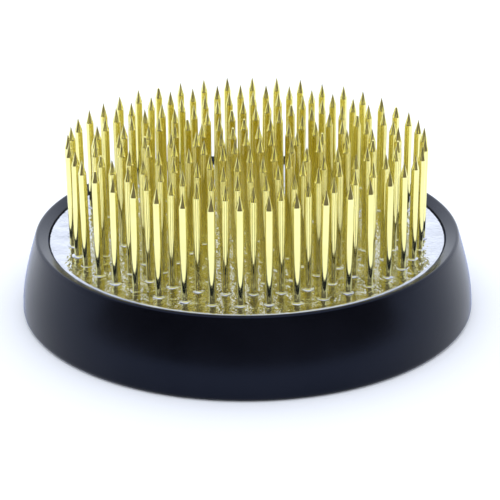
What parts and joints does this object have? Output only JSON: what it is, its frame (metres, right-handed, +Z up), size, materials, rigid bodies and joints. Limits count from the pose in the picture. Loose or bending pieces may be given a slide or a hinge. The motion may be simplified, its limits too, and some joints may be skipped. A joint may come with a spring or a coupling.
{
  "type": "flower frog",
  "caption": "Round flower frog: a heavy cast disc set with concentric circles of upright pointed brass pins, held in a black rubber ring that spreads to a flat foot.",
  "frame": {"origin": "centre of the rubber ring's underside, on the surface the flower frog stands on", "axes": "+Z up along the pins; +X to the right and -Y towards the viewer, with the first pin of every circle 2.3 degrees round from +X"},
  "size_m": [0.073, 0.073, 0.0291],
  "materials": {
    "rubber": "smooth satin moulded rubber",
    "cast_metal": "bright cast lead-tin alloy, slightly dimpled",
    "brass": "bright drawn brass wire with ground points"
  },
  "bodies": {
    "ring": {"rubber_ring": "rubber"},
    "pin_block": {"cast_disc": "cast_metal", "middle_pin": "brass", "pin_circle_1": "brass", "pin_circle_2": "brass", "pin_circle_3": "brass", "pin_circle_4": "brass", "pin_circle_5": "brass", "pin_circle_6": "brass", "pin_circle_7": "brass"}
  },
  "joints": [
    {"name": "pin_block_lift", "type": "slide", "parent": "ring", "child": "pin_block", "axis": [0, 0, 1], "range_m": [0, 0.02]}
  ]
}
